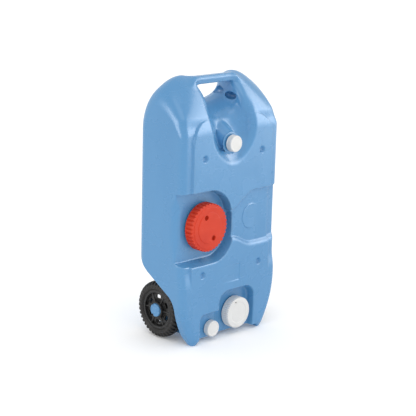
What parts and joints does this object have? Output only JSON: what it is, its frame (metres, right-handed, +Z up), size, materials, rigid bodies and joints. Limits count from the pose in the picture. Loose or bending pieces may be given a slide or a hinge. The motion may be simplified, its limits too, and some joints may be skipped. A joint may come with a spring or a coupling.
{
  "type": "wheeled water tank",
  "caption": "Upright blow-moulded fresh water tank with a moulded-in handle, screw caps on its filler, spout, outlet and drain, and wheels on an axle.",
  "frame": {"origin": "on the floor, under the middle of the bounding box", "axes": "+Z up, +X to the right seen from the front, +Y to the back, where the wheels stick out; the caps face -Y"},
  "size_m": [0.3, 0.176, 0.5962],
  "materials": {
    "tank_blue": "satin moulded polyethylene",
    "cap_red": "satin",
    "cap_white": "satin",
    "seal_grey": "matt",
    "tyre_black": "matt",
    "rim_black": "satin",
    "hub_blue": "satin",
    "nylon": "satin",
    "zinc": "zinc plated"
  },
  "bodies": {
    "tank": {"tank_shell": "tank_blue", "axle": "zinc", "left_inner_washer": "zinc", "left_outer_washer": "zinc", "left_axle_nut": "zinc", "right_inner_washer": "zinc", "right_outer_washer": "zinc", "right_axle_nut": "zinc"},
    "left_wheel": {"left_tyre": "tyre_black", "left_rim": "rim_black", "left_bush": "nylon", "left_hub_cap": "hub_blue"},
    "right_wheel": {"right_tyre": "tyre_black", "right_rim": "rim_black", "right_bush": "nylon", "right_hub_cap": "hub_blue"},
    "filler_seal_body": {"filler_seal": "seal_grey"},
    "filler_cap_body": {"filler_cap": "cap_red"},
    "outlet_seal_body": {"outlet_seal": "seal_grey"},
    "outlet_cap_body": {"outlet_cap": "cap_white"},
    "spout_seal_body": {"spout_seal": "seal_grey"},
    "spout_cap_body": {"spout_cap": "cap_white"},
    "drain_seal_body": {"drain_seal": "seal_grey"},
    "drain_cap_body": {"drain_cap": "cap_white"}
  },
  "joints": [
    {"name": "left_wheel_roll", "type": "hinge", "parent": "tank", "child": "left_wheel", "pos_m": [-0.114, 0.023, 0.065], "axis": [1, 0, 0], "continuous": true},
    {"name": "right_wheel_roll", "type": "hinge", "parent": "tank", "child": "right_wheel", "pos_m": [0.114, 0.023, 0.065], "axis": [1, 0, 0], "continuous": true},
    {"name": "filler_travel", "type": "slide", "parent": "tank", "child": "filler_seal_body", "axis": [0, -1, 0], "range_m": [0, 0.0126]},
    {"name": "filler_turn", "type": "hinge", "parent": "filler_seal_body", "child": "filler_cap_body", "pos_m": [-0.072, -0.062, 0.269], "axis": [0, -1, 0], "range_deg": [0, 900]},
    {"name": "outlet_travel", "type": "slide", "parent": "tank", "child": "outlet_seal_body", "axis": [0, -1, 0], "range_m": [0, 0.0101]},
    {"name": "outlet_turn", "type": "hinge", "parent": "outlet_seal_body", "child": "outlet_cap_body", "pos_m": [0.027, -0.066, 0.052], "axis": [0, -1, 0], "range_deg": [0, 900]},
    {"name": "spout_travel", "type": "slide", "parent": "tank", "child": "spout_seal_body", "axis": [0, -1, 0], "range_m": [0, 0.0076]},
    {"name": "spout_turn", "type": "hinge", "parent": "spout_seal_body", "child": "spout_cap_body", "pos_m": [0, -0.074, 0.448], "axis": [0, -1, 0], "range_deg": [0, 900]},
    {"name": "drain_travel", "type": "slide", "parent": "tank", "child": "drain_seal_body", "axis": [0, -1, 0], "range_m": [0, 0.0076]},
    {"name": "drain_turn", "type": "hinge", "parent": "drain_seal_body", "child": "drain_cap_body", "pos_m": [-0.05, -0.0698, 0.03], "axis": [0, -1, 0], "range_deg": [0, 900]}
  ],
  "couplings": [
    {"joint": "filler_travel", "follows": "filler_turn", "m_per_rad": 0.00079577},
    {"joint": "outlet_travel", "follows": "outlet_turn", "m_per_rad": 0.00063662},
    {"joint": "spout_travel", "follows": "spout_turn", "m_per_rad": 0.00047746},
    {"joint": "drain_travel", "follows": "drain_turn", "m_per_rad": 0.00047746}
  ]
}
